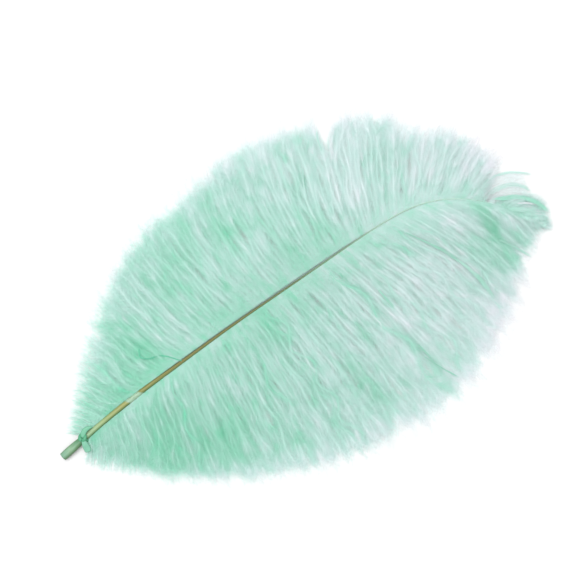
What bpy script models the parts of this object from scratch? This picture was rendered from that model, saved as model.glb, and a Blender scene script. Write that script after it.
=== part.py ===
"""A dyed ostrich plume lying on a flat surface, seen from its upper side.

The quill, the curved shaft and the two vanes of drooping locks grew as one piece, so they are one
solid. A short strip of dyed string is knotted round the quill. Lengths are in metres, angles in
degrees. The plume is drawn from the cut end of its quill, with +X along the chord to its tip, and
is then moved so that the middle of its footprint is the origin.
"""
import math

import bmesh
import bpy
import numpy as np

# Shaft: its length, and its heading, width and height above the surface at places along it
SHAFT_LENGTH = 0.3095
SHAFT_HEADINGS = ((0.0, 15.3), (0.06, 11.0), (0.13, 8.3), (0.195, 5.8), (0.225, 1.3), (0.25, -18.7),
                  (0.275, -39.8), (SHAFT_LENGTH, -53.6))
SHAFT_RADII = ((0.0, 0.0024), (0.018, 0.0022), (0.03, 0.0016), (0.06, 0.0014), (0.1, 0.0011),
               (0.16, 0.0009), (0.23, 0.0007), (SHAFT_LENGTH, 0.0005))
SHAFT_HEIGHTS = ((0.0, 0.0027), (0.018, 0.0039), (0.06, 0.0064), (0.12, 0.0092), (0.18, 0.0102),
                 (0.24, 0.0088), (0.28, 0.006), (SHAFT_LENGTH, 0.003))
SHAFT_SIDES = 10
SHAFT_RINGS = 34
RING_CROWDING = 1.15
QUILL_BORE = 0.0014
QUILL_BORE_END = 0.001
QUILL_BORE_DEPTH = 0.006
CUT_SLANT = 0.1

# Vanes: the barbs' lengths along the shaft, and their headings where they leave it and at the edge
VANES = {
    "left": {
        "lengths": ((0.018, 0.014), (0.04, 0.0285), (0.064, 0.045), (0.08, 0.0575),
                    (0.096, 0.0675), (0.112, 0.0745), (0.136, 0.0785), (0.16, 0.081),
                    (0.184, 0.077), (0.194, 0.072), (0.2, 0.066), (0.208, 0.0685),
                    (0.216, 0.065), (0.232, 0.0495), (0.248, 0.045), (0.257, 0.0355),
                    (0.272, 0.028), (0.288, 0.0225), (0.298, 0.0155), (SHAFT_LENGTH, 0.008)),
        "root_headings": ((0.015, 123), (0.055, 121), (0.08, 119), (0.13, 111), (0.178, 101),
                          (0.215, 75), (0.245, 53), (0.27, 35), (0.29, 3), (0.305, -29)),
        "edge_headings": ((0.015, 158), (0.03, 141), (0.055, 123), (0.08, 107), (0.13, 89),
                          (0.178, 72), (0.215, 61), (0.245, 39), (0.27, 3), (0.29, -35),
                          (0.305, -49)),
    },
    "right": {
        "lengths": ((0.018, 0.0185), (0.04, 0.0375), (0.064, 0.057), (0.088, 0.0755),
                    (0.104, 0.0845), (0.12, 0.0935), (0.136, 0.1015), (0.152, 0.105),
                    (0.17, 0.1085), (0.184, 0.1075), (0.2, 0.1015), (0.216, 0.0905),
                    (0.224, 0.086), (0.232, 0.0775), (0.24, 0.0715), (0.25, 0.057),
                    (0.26, 0.0495), (0.272, 0.0415), (0.28, 0.032), (0.296, 0.0175),
                    (SHAFT_LENGTH, 0.008)),
        "root_headings": ((0.015, -105), (0.03, -95), (0.055, -97), (0.08, -95), (0.13, -79),
                          (0.178, -67), (0.215, -55), (0.245, -49), (0.27, -57), (0.29, -57),
                          (0.305, -45)),
        "edge_headings": ((0.015, -142), (0.03, -120), (0.055, -105), (0.08, -97), (0.13, -89),
                          (0.178, -79), (0.215, -74), (0.245, -77), (0.27, -77), (0.29, -71),
                          (0.305, -53)),
    },
}

# Locks: bundles of barbs, which overlap like shingles and part towards the vane's edge. Stations
# go from 0 at the shaft to 1 at the lock's point
BARB_STEPS = 60
LOCKS_PER_VANE = 27
FIRST_LOCK = 0.0285
LAST_LOCK = 0.3055
LOCK_STATIONS = (0.0, 0.12, 0.34, 0.6, 0.84, 0.95, 1.0)
LOCK_SECTION = ((-1.0, 0.0), (-0.45, 0.9), (0.45, 0.9), (1.0, 0.0), (0.5, -0.8), (-0.5, -0.8))
LOCK_OVERLAP = 1.28
LOCK_THICKNESS = 0.0034
LOCK_EDGE_THICKNESS = 0.0022
LOCK_ROOT_DEPTH = 0.7
LOCK_ROOT_INSET = 0.3
LOCK_TAPER = (0.82, 1.06)
LOCK_TIP_SHARE = 0.24
LEAST_HALF_WIDTH = 0.0005
LOCK_ROLL = 11.0
LOCK_SWELL = 0.0021
LOCK_TIP_HEIGHT = 0.0004
LOCK_LANDS_AT = 0.86
SHORT_LOCK = 0.03
LENGTH_SPREAD = 0.03
HEADING_SPREAD = 2.0
HEIGHT_SPREAD = 0.0003
SEED = 7

# Middle of the plume's footprint, from the cut end of the quill, and the cutter for its underside
MIDDLE = (0.1499, 0.0169)
SURFACE_SIZE = (0.4, 0.3, 0.02)

# String knotted round the quill: a flat band, a knot, a cut tail and a short loop. The routes hold
# distances along the shaft from the band, to its left and above the surface
TIE_PLACE = 0.0157
TIE_GAP = 0.0003
BAND_WIDTH = 0.0036
BAND_THICKNESS = 0.001
BAND_SIDES = 18
KNOT_SIZE = (0.0046, 0.0042, 0.0026)
KNOT_TURN = 106.0
TAIL_ROUTE = ((-0.0006, -0.0016, 0.0062), (-0.0012, -0.0031, 0.0054), (-0.0017, -0.0045, 0.004),
              (-0.002, -0.0058, 0.0026), (-0.0022, -0.0072, 0.0014))
TAIL_WIDTHS = (0.0022, 0.003, 0.0034, 0.0034, 0.0018)
LOOP_ROUTE = ((0.0004, 0.0018, 0.0066), (0.0018, 0.003, 0.0072), (0.004, 0.0038, 0.0075),
              (0.0062, 0.0034, 0.0074), (0.0078, 0.0022, 0.0071))
LOOP_WIDTHS = (0.0018, 0.0018, 0.0016, 0.0014, 0.0008)
STRING_THICKNESS = 0.0009

SHARP_ANGLE = math.radians(50)
VANE_COLOUR = (0.40, 0.72, 0.59, 1.0)
TIE_COLOUR = (0.07, 0.50, 0.27, 1.0)


def clear_scene():
    for old in list(bpy.data.objects):
        bpy.data.objects.remove(old, do_unlink=True)


def material(name, colour, roughness):
    made = bpy.data.materials.new(name)
    made.use_nodes = True
    shader = made.node_tree.nodes["Principled BSDF"]
    shader.inputs["Base Color"].default_value = colour
    shader.inputs["Roughness"].default_value = roughness
    made.diffuse_color = colour
    return made


def smoothstep(low, high, value):
    t = np.clip((value - low) / (high - low), 0.0, 1.0)
    return t * t * (3.0 - 2.0 * t)


def along(table, place):
    """The value at a place, on a smooth curve through the rows of a table."""
    places, values = np.array(table, float).T
    slopes = np.gradient(values, places)
    row = np.clip(np.searchsorted(places, place) - 1, 0, len(places) - 2)
    gap = places[row + 1] - places[row]
    t = np.clip((place - places[row]) / gap, 0.0, 1.0)
    start = (1 + 2 * t) * (1 - t) ** 2 * values[row] + t * (1 - t) ** 2 * gap * slopes[row]
    end = t * t * (3 - 2 * t) * values[row + 1] + t * t * (t - 1) * gap * slopes[row + 1]
    return start + end


def shaft_points(steps=620):
    """Points along the shaft's centre line, with x = 0, y = 0 at the cut end of the quill."""
    step = SHAFT_LENGTH / steps
    heading = np.radians(along(SHAFT_HEADINGS, (np.arange(steps) + 0.5) * step))
    moves = np.stack([np.cos(heading), np.sin(heading)], axis=1) * step
    plan = np.vstack([[0.0, 0.0], np.cumsum(moves, axis=0)]) - MIDDLE
    height = along(SHAFT_HEIGHTS, np.arange(steps + 1) * step)
    return np.column_stack([plan, height])


SHAFT = shaft_points()


def shaft_at(place):
    spots = np.linspace(0.0, SHAFT_LENGTH, len(SHAFT))
    return np.array([np.interp(place, spots, SHAFT[:, k]) for k in range(3)])


def heading_at(place):
    angle = math.radians(float(along(SHAFT_HEADINGS, place)))
    return np.array([math.cos(angle), math.sin(angle), 0.0])


def mesh_object(name, points, faces, look=None):
    mesh = bpy.data.meshes.new(name)
    mesh.from_pydata([tuple(p) for p in points], [], faces)
    mesh.shade_smooth()
    mesh.set_sharp_from_angle(angle=SHARP_ANGLE)
    made = bpy.data.objects.new(name, mesh)
    bpy.context.collection.objects.link(made)
    if look:
        mesh.materials.append(look)
    return made


def loft(rings):
    """The points and faces of a closed body through rings of equally many points."""
    sides = len(rings[0])
    faces = [tuple(range(sides))[::-1]]
    for low in range(0, (len(rings) - 1) * sides, sides):
        for k in range(sides):
            after = (k + 1) % sides
            faces.append((low + k, low + after, low + sides + after))
            faces.append((low + k, low + sides + after, low + sides + k))
    faces.append(tuple(range((len(rings) - 1) * sides, len(rings) * sides)))
    return np.concatenate(rings), faces


def shaft_ring(place, radius, slant=0.0):
    """One ring of the shaft, leaned along it by a slant for the quill's cut."""
    forward = heading_at(place)
    side = np.array([-forward[1], forward[0], 0.0])
    up = np.array([0.0, 0.0, 1.0])
    turn = np.arange(SHAFT_SIDES) * 2 * math.pi / SHAFT_SIDES
    across, over = np.cos(turn)[:, None] * radius, np.sin(turn)[:, None] * radius
    return shaft_at(place) + side * across + up * over + forward * across * slant


def make_shaft(look):
    """The hollow cut end of the quill and the shaft that tapers from it to the tip."""
    bore = [shaft_ring(QUILL_BORE_DEPTH, QUILL_BORE_END), shaft_ring(0.0, QUILL_BORE, CUT_SLANT)]
    places = SHAFT_LENGTH * np.linspace(0.0, 1.0, SHAFT_RINGS) ** RING_CROWDING
    rings = [
        shaft_ring(place, float(along(SHAFT_RADII, place)), CUT_SLANT if place == 0.0 else 0.0)
        for place in places
    ]
    points, faces = loft(bore + rings)
    return mesh_object("feather", points, faces, look)


def barb_line(vane, place, length, shares, turn=0.0):
    """A barb's points at shares of its length and its headings there, in plan."""
    root = along(vane["root_headings"], place) + turn
    edge = along(vane["edge_headings"], place) + turn
    angle = np.radians(root + (edge - root) * (np.arange(BARB_STEPS) + 0.5) / BARB_STEPS)
    moves = np.stack([np.cos(angle), np.sin(angle)], axis=1) * length / BARB_STEPS
    plan = np.vstack([[0.0, 0.0], np.cumsum(moves, axis=0)]) + shaft_at(place)[:2]
    spots = np.linspace(0.0, 1.0, BARB_STEPS + 1)
    points = np.stack([np.interp(shares, spots, plan[:, k]) for k in range(2)], axis=1)
    return points, np.radians(root + (edge - root) * shares)


def lock_widths(vane, place, pitch, length, shares, side):
    """Half the width of a lock: over half the way to its neighbours, narrowing to its point."""
    before, _ = barb_line(vane, place - pitch / 2, length, shares)
    after, _ = barb_line(vane, place + pitch / 2, length, shares)
    room = np.abs(np.sum((after - before) * side, axis=1))
    taper = 1 - (1 - LOCK_TIP_SHARE) * smoothstep(*LOCK_TAPER, shares)
    return np.maximum(room * LOCK_OVERLAP / 2 * taper, LEAST_HALF_WIDTH)


def lock_depths(radius, length, half_width, shares):
    """Half the thickness of a lock, which is thinner than the shaft where it leaves it."""
    body = LOCK_THICKNESS + (LOCK_EDGE_THICKNESS - LOCK_THICKNESS) * shares
    body *= 0.5 + 0.5 * min(1.0, length / SHORT_LOCK)
    body = np.minimum(body, half_width * 1.2) / 2
    root = radius * LOCK_ROOT_DEPTH
    return root + (body - root) * smoothstep(0.02, 0.3, shares)


def lock_heights(root_height, length, shares, shift):
    """The height of a lock's middle, which swells over its first half and then lies down."""
    swell = LOCK_SWELL * min(1.0, length / SHORT_LOCK) * np.sin(math.pi * shares ** 0.8)
    drop = (LOCK_TIP_HEIGHT - root_height) * smoothstep(0.0, LOCK_LANDS_AT, shares)
    return root_height + drop + swell + shift * smoothstep(0.1, 0.4, shares)


def make_lock(name, vane, hand, place, pitch, chance):
    """One lock of a vane: a flat ridged bundle that droops to the surface and ends in a point."""
    length = float(along(vane["lengths"], place)) * (1 + LENGTH_SPREAD * chance.uniform(-1, 1))
    turn, shift = HEADING_SPREAD * chance.uniform(-1, 1), HEIGHT_SPREAD * chance.uniform(-1, 1)
    shares = np.array(LOCK_STATIONS)
    line, heading = barb_line(vane, place, length, shares, turn)
    side = np.stack([np.sin(heading), -np.cos(heading)], axis=1) * hand
    radius = float(along(SHAFT_RADII, place))
    line[0] -= np.array([math.cos(heading[0]), math.sin(heading[0])]) * radius * LOCK_ROOT_INSET
    half_width = lock_widths(vane, place, pitch, length, shares, side)
    half_thick = lock_depths(radius, length, half_width, shares)
    height = lock_heights(shaft_at(place)[2], length, shares, shift)

    blend = smoothstep(0.0, 0.2, shares)[:, None]
    across = heading_at(place)[:2] * (1 - blend) + side * blend
    across /= np.linalg.norm(across, axis=1)[:, None]
    rolled = smoothstep(0.05, 0.3, shares) * (1 - smoothstep(0.7, 1.0, shares))
    roll = np.radians(LOCK_ROLL) * rolled
    rings = []
    for k in range(len(shares)):
        flat, up = np.array([*across[k], 0.0]), np.array([0.0, 0.0, 1.0])
        wide = flat * math.cos(roll[k]) + up * math.sin(roll[k])
        thick = up * math.cos(roll[k]) - flat * math.sin(roll[k])
        section = np.array(LOCK_SECTION) * (half_width[k], half_thick[k])
        rings.append(np.array([*line[k], height[k]]) + section @ np.array([wide, thick]))
    points, faces = loft(rings)
    if hand < 0:
        faces = [face[::-1] for face in faces]
    return mesh_object(name, points, faces)


def hide_cutter(cutter):
    cutter.hide_render = True
    cutter.display_type = "WIRE"


def make_vanes(feather):
    """Joins both vanes' locks to the shaft that they grow from."""
    locks = bpy.data.collections.new("locks")
    bpy.context.scene.collection.children.link(locks)
    chance = np.random.default_rng(SEED)
    pitch = (LAST_LOCK - FIRST_LOCK) / (LOCKS_PER_VANE - 1)
    for hand, (side, vane) in zip((1, -1), VANES.items()):
        for k in range(LOCKS_PER_VANE):
            place = FIRST_LOCK + k * pitch
            lock = make_lock(f"lock_{side}_{k}", vane, hand, place, pitch, chance)
            hide_cutter(lock)
            bpy.context.collection.objects.unlink(lock)
            locks.objects.link(lock)
    union = feather.modifiers.new("locks", "BOOLEAN")
    union.operation = "UNION"
    union.operand_type = "COLLECTION"
    union.collection = locks
    union.solver = "EXACT"
    union.use_self = True


def cut_flat(feather):
    """Takes off what would reach below the surface that the plume lies on."""
    mesh = bpy.data.meshes.new("surface")
    shape = bmesh.new()
    bmesh.ops.create_cube(shape, size=1.0)
    bmesh.ops.scale(shape, vec=SURFACE_SIZE, verts=shape.verts)
    bmesh.ops.translate(shape, vec=(0.0, 0.0, -SURFACE_SIZE[2] / 2), verts=shape.verts)
    shape.to_mesh(mesh)
    shape.free()
    surface = bpy.data.objects.new("surface", mesh)
    bpy.context.collection.objects.link(surface)
    hide_cutter(surface)
    cut = feather.modifiers.new("surface", "BOOLEAN")
    cut.operation = "DIFFERENCE"
    cut.object = surface
    cut.solver = "EXACT"


def tie_point(forward, left, height):
    """A point by its distance along the shaft from the band, to its left and above the surface."""
    ahead = heading_at(TIE_PLACE)
    side = np.array([-ahead[1], ahead[0], 0.0])
    base = shaft_at(TIE_PLACE)
    base[2] = 0.0
    return base + ahead * forward + side * left + np.array([0.0, 0.0, height])


def make_band(look):
    """The flat band of string that goes round the quill, clear of it all the way."""
    inner = float(along(SHAFT_RADII, TIE_PLACE - BAND_WIDTH / 2)) + TIE_GAP
    middle = shaft_at(TIE_PLACE)[2]
    half, thick = BAND_WIDTH / 2, BAND_THICKNESS
    section = ((-half, 0.3 * thick), (-half * 0.6, thick), (half * 0.6, thick), (half, 0.3 * thick),
               (half * 0.8, 0.0), (-half * 0.8, 0.0))
    points, faces = [], []
    for k in range(BAND_SIDES):
        turn = 2 * math.pi * k / BAND_SIDES
        for ahead, out in section:
            reach = (inner + out) / math.cos(math.pi / BAND_SIDES)
            points.append(tie_point(ahead, math.cos(turn) * reach, middle + math.sin(turn) * reach))
    sides, count = len(section), BAND_SIDES * len(section)
    for low in range(0, count, sides):
        for k in range(sides):
            after, ahead = (k + 1) % sides, (low + sides) % count
            faces.append((low + k, low + after, ahead + after))
            faces.append((low + k, ahead + after, ahead + k))
    return mesh_object("quill_tie", points, [face[::-1] for face in faces], look)


def make_strip(name, route, widths):
    """A flat string with rounded edges that follows a route of tie points."""
    line = np.array([tie_point(*spot) for spot in route])
    ways = np.gradient(line, axis=0)
    rings = []
    for centre, way, width in zip(line, ways, widths):
        way /= np.linalg.norm(way)
        wide = np.cross((0.0, 0.0, 1.0), way)
        wide /= np.linalg.norm(wide)
        over = np.cross(way, wide)
        section = np.array(LOCK_SECTION)
        ring = centre + np.outer(section[:, 0], wide) * width / 2
        rings.append(ring + np.outer(section[:, 1], over) * STRING_THICKNESS / 2)
    points, faces = loft(rings)
    return mesh_object(name, points, [face[::-1] for face in faces])


def make_knot():
    """The knot's lump, on the upper left of the quill."""
    mesh = bpy.data.meshes.new("knot")
    shape = bmesh.new()
    bmesh.ops.create_icosphere(shape, subdivisions=2, radius=0.5)
    bmesh.ops.scale(shape, vec=KNOT_SIZE, verts=shape.verts)
    shape.to_mesh(mesh)
    shape.free()
    mesh.shade_smooth()
    knot = bpy.data.objects.new("knot", mesh)
    bpy.context.collection.objects.link(knot)
    turn = math.radians(KNOT_TURN)
    band_radius = float(along(SHAFT_RADII, TIE_PLACE)) + TIE_GAP
    reach = band_radius + KNOT_SIZE[2] / 2 + TIE_GAP
    middle = shaft_at(TIE_PLACE)[2]
    knot.location = tie_point(0.0, -math.cos(turn) * reach, middle + math.sin(turn) * reach)
    ahead = math.radians(float(along(SHAFT_HEADINGS, TIE_PLACE)))
    knot.rotation_euler = (math.pi / 2 - turn, 0.0, ahead)
    return knot


def make_tie(look):
    """The string's band, knot, tail and loop as one closed solid."""
    band = make_band(look)
    pieces = [make_knot(), make_strip("tail", TAIL_ROUTE, TAIL_WIDTHS),
              make_strip("loop", LOOP_ROUTE, LOOP_WIDTHS)]
    for piece in pieces:
        hide_cutter(piece)
        union = band.modifiers.new(piece.name, "BOOLEAN")
        union.operation = "UNION"
        union.object = piece
        union.solver = "EXACT"


def main():
    clear_scene()
    feather = make_shaft(material("dyed_feather", VANE_COLOUR, 0.7))
    make_vanes(feather)
    cut_flat(feather)
    make_tie(material("dyed_string", TIE_COLOUR, 0.8))


main()
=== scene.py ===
"""Looks for a dyed ostrich plume that lies on a white surface, seen from straight above.

Each barb of the two vanes is a fine ribbon with barbules along both its sides. The barbs follow
the same flow as the solid locks, gather into threads, clumps and locks on their way out, and land on
the surface. Lengths are in metres and angles in degrees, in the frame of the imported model.
"""
import math

import bpy
import numpy as np
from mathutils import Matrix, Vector


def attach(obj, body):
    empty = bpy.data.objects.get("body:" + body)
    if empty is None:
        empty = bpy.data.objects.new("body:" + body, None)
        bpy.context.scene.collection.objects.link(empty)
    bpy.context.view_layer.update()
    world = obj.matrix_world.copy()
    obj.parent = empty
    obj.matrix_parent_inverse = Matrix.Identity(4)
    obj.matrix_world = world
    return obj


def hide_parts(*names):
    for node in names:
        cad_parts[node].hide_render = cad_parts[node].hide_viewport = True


# Shaft: the same line as the solid's, with the widths that the eye sees. Tables go by the distance
# from the cut end of the quill
SHAFT_LENGTH = 0.3095
SHAFT_HEADINGS = ((0.0, 15.3), (0.06, 11.0), (0.13, 8.3), (0.195, 5.8), (0.225, 1.3), (0.25, -18.7),
                  (0.275, -39.8), (SHAFT_LENGTH, -53.6))
SHAFT_HEIGHTS = ((0.0, 0.0027), (0.018, 0.0039), (0.06, 0.0064), (0.12, 0.0092), (0.18, 0.0102),
                 (0.24, 0.0088), (0.28, 0.006), (SHAFT_LENGTH, 0.003))
SHAFT_WIDTHS = ((0.0, 0.0046), (0.005, 0.0048), (0.0095, 0.0045), (0.015, 0.004),
                (0.024, 0.0033), (0.045, 0.0032), (0.06, 0.0027), (0.085, 0.002), (0.12, 0.0014),
                (0.16, 0.001), (0.2, 0.0007), (0.25, 0.0006), (SHAFT_LENGTH, 0.0004))
SHAFT_ASIDE = ((0.0, 0.0), (0.055, 0.0), (0.08, 0.0005), (0.11, 0.0006), (0.19, 0.0006), (0.21, 0.0),
               (SHAFT_LENGTH, 0.0))
MIDDLE = (0.1499, 0.0169)
SHAFT_RINGS = 420
SHAFT_SIDES = 28
SHAFT_FLATNESS = 0.86
GROOVE_SPAN = (0.058, 0.07)
GROOVE_DEPTH = 0.2
GROOVE_ANGLE = 100.0
GROOVE_REACH = 20.0
FACETS = 3
FACETS_PHASE = 0.6
FACETS_END = (0.010, 0.018)
FACET_DEPTH = 0.06
CREASE = (0.0468, 0.0556)
CREASE_SLANT = 0.0011
CREASE_BLUR = 0.0003
CREASE_SINK = 0.22
BORE_WIDTHS = (0.0031, 0.0022)
BORE_DEPTH = 0.006
BORE_LIP = 0.0002
SHAFT_COLOURS = ((0.0, (104, 144, 122)), (0.006, (120, 154, 126)), (0.0125, (74, 122, 88)),
                 (0.018, (134, 166, 130)), (0.03, (132, 150, 102)), (0.044, (132, 134, 78)),
                 (0.058, (112, 112, 56)), (0.085, (100, 94, 42)), (0.12, (90, 88, 40)),
                 (0.155, (82, 94, 60)), (0.19, (104, 132, 106)), (0.22, (152, 182, 166)),
                 (SHAFT_LENGTH, (164, 194, 182)))

# String knotted round the quill. Points hold the distance along the shaft from the knot, to its left
# and above the surface
TIE_PLACE = 0.0157
TIE_START = 0.15
TIE_TURNS = 1.7
TIE_ADVANCE = 0.0014
TIE_WIDTH = 0.0021
TIE_THICKNESS = 0.0007
TIE_GAP = 0.0003
KNOT_RADIUS = 0.0015
KNOT_WIDTH = 0.0021
KNOT_TURNS = 1.6
KNOT_SIDE = 72.0
KNOT_LIFT = 0.0006
KNOT_WAVE = 0.0004
KNOT_WAVES = 1.5
TAIL_ROUTE = ((-0.0004, 0.0002, 0.0071), (-0.0009, -0.0014, 0.0071), (-0.0015, -0.003, 0.0066),
              (-0.002, -0.0045, 0.0058), (-0.0025, -0.0058, 0.0052), (-0.003, -0.007, 0.0047))
TAIL_WIDTHS = (0.0018, 0.0026, 0.0034, 0.0039, 0.004, 0.0034)
LOOP_ROUTE = ((0.0002, 0.0008, 0.0071), (0.0015, 0.0022, 0.0072), (0.0036, 0.003, 0.0073),
              (0.0058, 0.0028, 0.0072), (0.0078, 0.0019, 0.007))
LOOP_WIDTHS = (0.0016, 0.003, 0.0029, 0.0022, 0.0007)
LOOP_THICKNESS = 0.00042
STRING_SIDES = 12
STRING_CUP = 0.1
STRING_POINTS = {"band": 60, "knot": 46, "tail": 30, "loop": 24}
STRING_DYES = {"band": 0.8, "knot": 1.0, "tail": 0.15, "loop": 0.45}

# Vanes: along the shaft, the barbs' lengths, how much these differ at the edge, over what length the
# fluff thins out towards their tips, and their headings where they leave the shaft and at the edge
VANES = {
    "left": {
        "hand": 1,
        "lengths": ((0.016, 0.012), (0.024, 0.017), (0.04, 0.029), (0.064, 0.0465), (0.08, 0.0575),
                    (0.096, 0.0685), (0.112, 0.0745), (0.136, 0.0765), (0.16, 0.0825),
                    (0.184, 0.0785), (0.194, 0.0735), (0.2, 0.071), (0.208, 0.0695), (0.216, 0.066),
                    (0.232, 0.0505), (0.248, 0.0465), (0.257, 0.0375), (0.263, 0.034),
                    (0.267, 0.028), (0.271, 0.014), (0.28, 0.012), (0.286, 0.021), (0.298, 0.0145),
                    (SHAFT_LENGTH, 0.006)),
        "fringe": ((0.0, 0.006), (0.05, 0.005), (0.1, 0.004), (0.26, 0.003), (SHAFT_LENGTH, 0.0015)),
        "fade": ((0.0, 0.0046), (0.03, 0.0044), (0.06, 0.004), (0.1, 0.0037), (0.2, 0.0034),
                 (0.25, 0.003), (0.27, 0.002), (SHAFT_LENGTH, 0.001)),
        "root_headings": ((0.015, 123), (0.055, 121), (0.08, 119), (0.13, 111), (0.178, 101),
                          (0.215, 75), (0.245, 53), (0.27, 35), (0.29, 3), (0.305, -29)),
        "edge_headings": ((0.015, 168), (0.03, 143), (0.055, 123), (0.08, 107), (0.13, 89),
                          (0.178, 72), (0.215, 61), (0.245, 39), (0.27, 3), (0.29, -35),
                          (0.305, -49)),
    },
    "right": {
        "hand": -1,
        "lengths": ((0.016, 0.0145), (0.024, 0.023), (0.04, 0.0368), (0.064, 0.056), (0.088, 0.074),
                    (0.104, 0.083), (0.12, 0.0915), (0.136, 0.099), (0.152, 0.102), (0.17, 0.107),
                    (0.184, 0.1045), (0.2, 0.099), (0.216, 0.089), (0.224, 0.085), (0.232, 0.0765),
                    (0.24, 0.0715), (0.25, 0.059), (0.258, 0.051), (0.264, 0.048), (0.272, 0.0415),
                    (0.28, 0.0315), (0.296, 0.016), (SHAFT_LENGTH, 0.006)),
        "fringe": ((0.0, 0.004), (0.05, 0.003), (0.17, 0.0035), (0.25, 0.0035), (0.265, 0.006),
                   (0.28, 0.003), (SHAFT_LENGTH, 0.0015)),
        "fade": ((0.0, 0.0042), (0.03, 0.0034), (0.06, 0.0026), (0.12, 0.0024), (0.15, 0.003),
                 (0.2, 0.0034), (0.24, 0.0036), (0.265, 0.0034), (0.28, 0.0026),
                 (SHAFT_LENGTH, 0.001)),
        "root_headings": ((0.015, -105), (0.03, -95), (0.055, -97), (0.08, -95), (0.13, -79),
                          (0.178, -67), (0.215, -55), (0.245, -49), (0.27, -57), (0.29, -57),
                          (0.305, -45)),
        "edge_headings": ((0.015, -142), (0.03, -120), (0.055, -105), (0.08, -97), (0.13, -89),
                          (0.178, -79), (0.215, -74), (0.245, -77), (0.27, -77), (0.29, -71),
                          (0.305, -53)),
    },
}

# Flow: a grid of barb lines over the shaft's length and the barbs' length, from 0 at the shaft to 1
# at the vane's edge. The lines start beside the shaft's middle, swell upwards and land on the surface
FLOW_PLACES = np.linspace(0.0, SHAFT_LENGTH, 621)
FLOW_SHARES = np.linspace(0.0, 1.25, 126)
ROOT_ASIDE = 0.4
ROOT_SPAN = (0.0, 0.2)
TURNS_UNTIL = 1.2
LANDS_AT = 0.86
TIP_HEIGHT = 0.0012
SWELL = 0.0014
SWELL_SHAPE = 0.8
SHORT_BARB = 0.03
LOWEST = 0.00025
NEAR_SURFACE = 0.0014
CEILING = 0.012
OVER_CEILING = 0.2

# Barbs: where they grow, and how they gather on the way to the vane's edge. Level by level, from
# single barbs to locks: how many members a group has, the shares of the length between which it
# gathers and how much, how far it wanders sideways and up and over what length, how much its
# members' lengths, heights and dye differ, and the depth and length of its dark and pale strokes,
# with the part of a slow swing that they take up
FIRST_BARB = 0.0165
LAST_BARB = 0.309
BARB_SPACING = 0.00064
SPACING_SHAKE = 0.3
BARB_REACH = 1.07
FRINGE_SHAPE = 0.8
LENGTH_SPAN = (0.35, 1.1)
LOOSE_ALONG = ((0.0, 3.0), (0.03, 3.0), (0.06, 2.5), (0.1, 1.5), (0.16, 1.0), (SHAFT_LENGTH, 1.0))
CROWD_ALONG = ((0.0, 4.0), (0.025, 3.0), (0.055, 1.6), (0.08, 1.15), (0.12, 1.0),
               (SHAFT_LENGTH, 1.0))
GATHER_ALONG = ((0.0, 0.2), (0.03, 0.35), (0.06, 0.7), (0.1, 0.9), (0.16, 1.0), (SHAFT_LENGTH, 1.0))
LEVELS = (
    {"group": (1, 1), "span": (0.0, 0.1), "pull": 0.0, "wander": 0.0003, "heave": 0.0004,
     "wave": 0.03, "length": 0.0, "height": 0.0003, "dye": 0.04,
     "dark": 0.27, "pale": 0.2, "stroke": 0.03, "from": (0.7, 1.0)},
    {"group": (2, 3), "span": (0.02, 0.14), "pull": 0.6, "wander": 0.0005, "heave": 0.0005,
     "wave": 0.034, "length": 0.005, "height": 0.0003, "dye": 0.04,
     "dark": 0.27, "pale": 0.2, "stroke": 0.036, "from": (0.65, 1.0)},
    {"group": (2, 3), "span": (0.2, 1.0), "pull": 0.3, "wander": 0.0006, "heave": 0.0004,
     "wave": 0.042, "length": 0.006, "height": 0.0003, "dye": 0.05,
     "dark": 0.09, "pale": 0.06, "stroke": 0.05, "from": (0.4, 0.9)},
    {"group": (2, 4), "span": (0.65, 1.0), "pull": 0.06, "wander": 0.0005, "heave": 0.0003,
     "wave": 0.08, "length": 0.006, "height": 0.0003, "dye": 0.06,
     "dark": 0.05, "pale": 0.03, "stroke": 0.06, "from": (0.2, 0.8)},
)
PULL_RANGE = (0.5, 1.3)
MOST_PULL = 0.95
WAVE_RANGE = (0.7, 1.4)
STROKE_RANGE = (0.6, 1.5)
SWINGS = ((0.6, 1.0), (0.4, 1.7))
LIFT_SPAN = (0.03, 0.25)
UNDER_SHARE = 0.36
UNDER_DEPTH = 0.0009
UNDER_DYE = 0.12
UNDER_PULL = 0.2
STRAY_SHARE = 0.02
STRAYS_FROM = 0.05
STRAY_WANDER = 0.002
STRAY_LIFT = 0.001
STRAY_DYE = 0.3
LOOSENS = 0.8
LOOSENS_SPAN = (0.72, 1.0)
TIP_SPREAD = 0.0008
SEED = 11

# Gaps between locks: their vane and place, the share of the length where they open, how far the
# barbs stand aside at the edge, and how far along the shaft this is felt
PARTING_BLUR = 0.0004
PARTING_END = 1.05
PARTINGS = (
    ("left", 0.128, 0.85, 0.0016, 0.004),
    ("left", 0.199, 0.52, 0.0031, 0.006),
    ("left", 0.2185, 0.82, 0.0026, 0.004),
    ("left", 0.2292, 0.8, 0.0028, 0.004),
    ("left", 0.2515, 0.82, 0.0022, 0.003),
    ("left", 0.258, 0.8, 0.0026, 0.003),
    ("right", 0.134, 0.88, 0.0018, 0.004),
    ("right", 0.152, 0.9, 0.0018, 0.004),
    ("right", 0.1755, 0.85, 0.0028, 0.004),
    ("right", 0.196, 0.87, 0.0028, 0.004),
    ("right", 0.2345, 0.85, 0.003, 0.005),
    ("right", 0.2525, 0.78, 0.0035, 0.005),
)

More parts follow.
